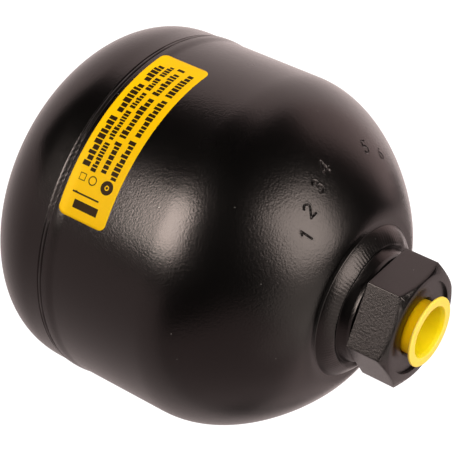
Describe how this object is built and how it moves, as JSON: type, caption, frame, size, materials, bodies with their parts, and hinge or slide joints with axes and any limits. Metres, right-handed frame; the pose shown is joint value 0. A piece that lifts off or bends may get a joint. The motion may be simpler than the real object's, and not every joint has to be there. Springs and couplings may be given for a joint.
{
  "type": "diaphragm accumulator",
  "caption": "Welded hydraulic diaphragm accumulator with a hexagonal threaded oil port, a push-in port plug, a bare label and a charging stud.",
  "frame": {"origin": "centre of the flat end face of the gas-side stud, on the vessel's axis, at the base", "axes": "+Z along the vessel's axis towards the oil port; the label faces -Y; two flats of the hexagon face +X and -X"},
  "size_m": [0.1352, 0.1352, 0.1773],
  "materials": {
    "vessel_paint": "semi-gloss black paint with light orange peel",
    "bare_steel": "turned and zinc plated",
    "nitrile_rubber": "matte moulded",
    "plug_plastic": "soft moulded polyethylene",
    "label_foil": "printed foil with greeked bars"
  },
  "bodies": {
    "vessel": {"gas_shell": "vessel_paint", "fluid_shell": "vessel_paint", "girth_weld": "vessel_paint", "port_fitting": "vessel_paint", "port_weld": "vessel_paint", "gas_adapter": "vessel_paint", "gas_adapter_weld": "vessel_paint", "retaining_ring": "bare_steel", "charging_screw": "bare_steel", "charging_seal": "nitrile_rubber", "label": "label_foil"},
    "separator": {"valve_plate": "bare_steel", "diaphragm": "nitrile_rubber"},
    "plug": {"port_plug": "plug_plastic"}
  },
  "joints": [
    {"name": "plug_pull", "type": "slide", "parent": "vessel", "child": "plug", "axis": [0, 0, 1], "range_m": [0, 0.04]},
    {"name": "valve_stroke", "type": "slide", "parent": "vessel", "child": "separator", "axis": [0, 0, -1], "range_m": [0, 0.07], "stiffness_N_per_m": 200, "springref_m": -0.05, "deforming": ["diaphragm"]}
  ]
}
